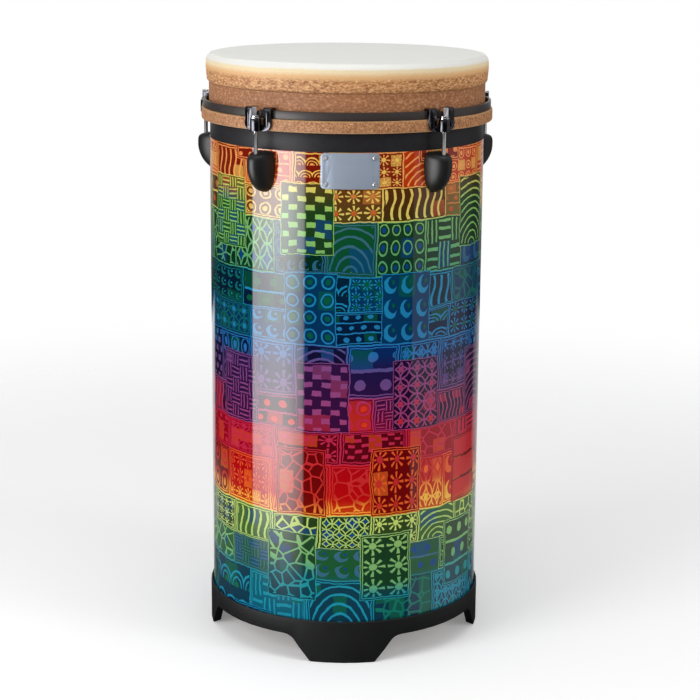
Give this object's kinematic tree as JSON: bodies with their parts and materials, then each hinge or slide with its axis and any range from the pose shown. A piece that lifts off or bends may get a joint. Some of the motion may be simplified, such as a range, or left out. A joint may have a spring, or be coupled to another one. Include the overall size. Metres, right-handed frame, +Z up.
{
  "type": "standing hand drum",
  "caption": "Standing hand drum: wrapped tubular shell on a footed base, key-tuned head held by a hoop, claws, rods and lugs, with an inner sound tube.",
  "frame": {"origin": "on the floor, at the middle of the whole drum's footprint; the shell's axis is 7.85 mm towards -Y from it", "axes": "+Z up along the shell's axis; the badge faces -Y; +X is to the right seen from the badge side"},
  "size_m": [0.337, 0.3382, 0.6565],
  "materials": {
    "pressed_fibre": "matt pressed fibre",
    "printed_wrap": "printed in bands of many colours under a clear gloss coat",
    "black_band": "satin black",
    "moulded_base": "fine-grained moulding",
    "bottom_board": "raw board",
    "tube_fibre": "wound fibre",
    "head_film": "coated white film",
    "collar_fibre": "mottled tan fibre",
    "flesh_hoop_fibre": "mottled tan fibre",
    "black_hoop": "satin black powder coat",
    "black_nickel": "dark polished plating",
    "bright_chrome": "bright plating",
    "satin_black": "satin black casting",
    "nut_brass": "turned",
    "screw_steel": "dull plated",
    "rivet_steel": "polished",
    "brushed_badge": "fine brushed, bluish"
  },
  "bodies": {
    "drum_body": {"shell": "pressed_fibre", "printed_wrap": "printed_wrap", "top_band": "black_band", "base": "moulded_base", "baffle": "bottom_board", "sound_tube": "tube_fibre", "badge": "brushed_badge", "badge_rivet_1": "rivet_steel", "badge_rivet_2": "rivet_steel", "badge_rivet_3": "rivet_steel", "badge_rivet_4": "rivet_steel", "base_screw_1": "screw_steel", "base_screw_2": "screw_steel", "base_screw_3": "screw_steel", "base_screw_4": "screw_steel", "lug_1": "satin_black", "lug_2": "satin_black", "lug_3": "satin_black", "lug_4": "satin_black", "lug_5": "satin_black", "swivel_nut_1": "nut_brass", "swivel_nut_2": "nut_brass", "swivel_nut_3": "nut_brass", "swivel_nut_4": "nut_brass", "swivel_nut_5": "nut_brass", "lug_screw_high_1": "screw_steel", "lug_screw_high_2": "screw_steel", "lug_screw_high_3": "screw_steel", "lug_screw_high_4": "screw_steel", "lug_screw_high_5": "screw_steel", "lug_screw_low_1": "screw_steel", "lug_screw_low_2": "screw_steel", "lug_screw_low_3": "screw_steel", "lug_screw_low_4": "screw_steel", "lug_screw_low_5": "screw_steel"},
    "head_assembly": {"head_film": "head_film", "head_collar": "collar_fibre", "flesh_hoop": "flesh_hoop_fibre", "counter_hoop": "black_hoop", "claw_1": "black_nickel", "claw_2": "black_nickel", "claw_3": "black_nickel", "claw_4": "black_nickel", "claw_5": "black_nickel", "rod_washer_1": "bright_chrome", "rod_washer_2": "bright_chrome", "rod_washer_3": "bright_chrome", "rod_washer_4": "bright_chrome", "rod_washer_5": "bright_chrome"},
    "rod_1": {"tension_rod_1": "bright_chrome"},
    "rod_2": {"tension_rod_2": "bright_chrome"},
    "rod_3": {"tension_rod_3": "bright_chrome"},
    "rod_4": {"tension_rod_4": "bright_chrome"},
    "rod_5": {"tension_rod_5": "bright_chrome"}
  },
  "joints": [
    {"name": "head_lift", "type": "slide", "parent": "drum_body", "child": "head_assembly", "axis": [0, 0, 1], "range_m": [0, 0.01]},
    {"name": "rod_turn_1", "type": "hinge", "parent": "head_assembly", "child": "rod_1", "pos_m": [0.09834, -0.1432, 0.5998], "axis": [0, 0, 1], "range_deg": [0, 3402]},
    {"name": "rod_turn_2", "type": "hinge", "parent": "head_assembly", "child": "rod_2", "pos_m": [0.15911, 0.04385, 0.5998], "axis": [0, 0, 1], "range_deg": [0, 3402]},
    {"name": "rod_turn_3", "type": "hinge", "parent": "head_assembly", "child": "rod_3", "pos_m": [0, 0.15945, 0.5998], "axis": [0, 0, 1], "range_deg": [0, 3402]},
    {"name": "rod_turn_4", "type": "hinge", "parent": "head_assembly", "child": "rod_4", "pos_m": [-0.15911, 0.04385, 0.5998], "axis": [0, 0, 1], "range_deg": [0, 3402]},
    {"name": "rod_turn_5", "type": "hinge", "parent": "head_assembly", "child": "rod_5", "pos_m": [-0.09834, -0.1432, 0.5998], "axis": [0, 0, 1], "range_deg": [0, 3402]}
  ],
  "couplings": [
    {"joint": "rod_turn_1", "follows": "head_lift", "rad_per_m": 5936.9},
    {"joint": "rod_turn_2", "follows": "head_lift", "rad_per_m": 5936.9},
    {"joint": "rod_turn_3", "follows": "head_lift", "rad_per_m": 5936.9},
    {"joint": "rod_turn_4", "follows": "head_lift", "rad_per_m": 5936.9},
    {"joint": "rod_turn_5", "follows": "head_lift", "rad_per_m": 5936.9}
  ]
}
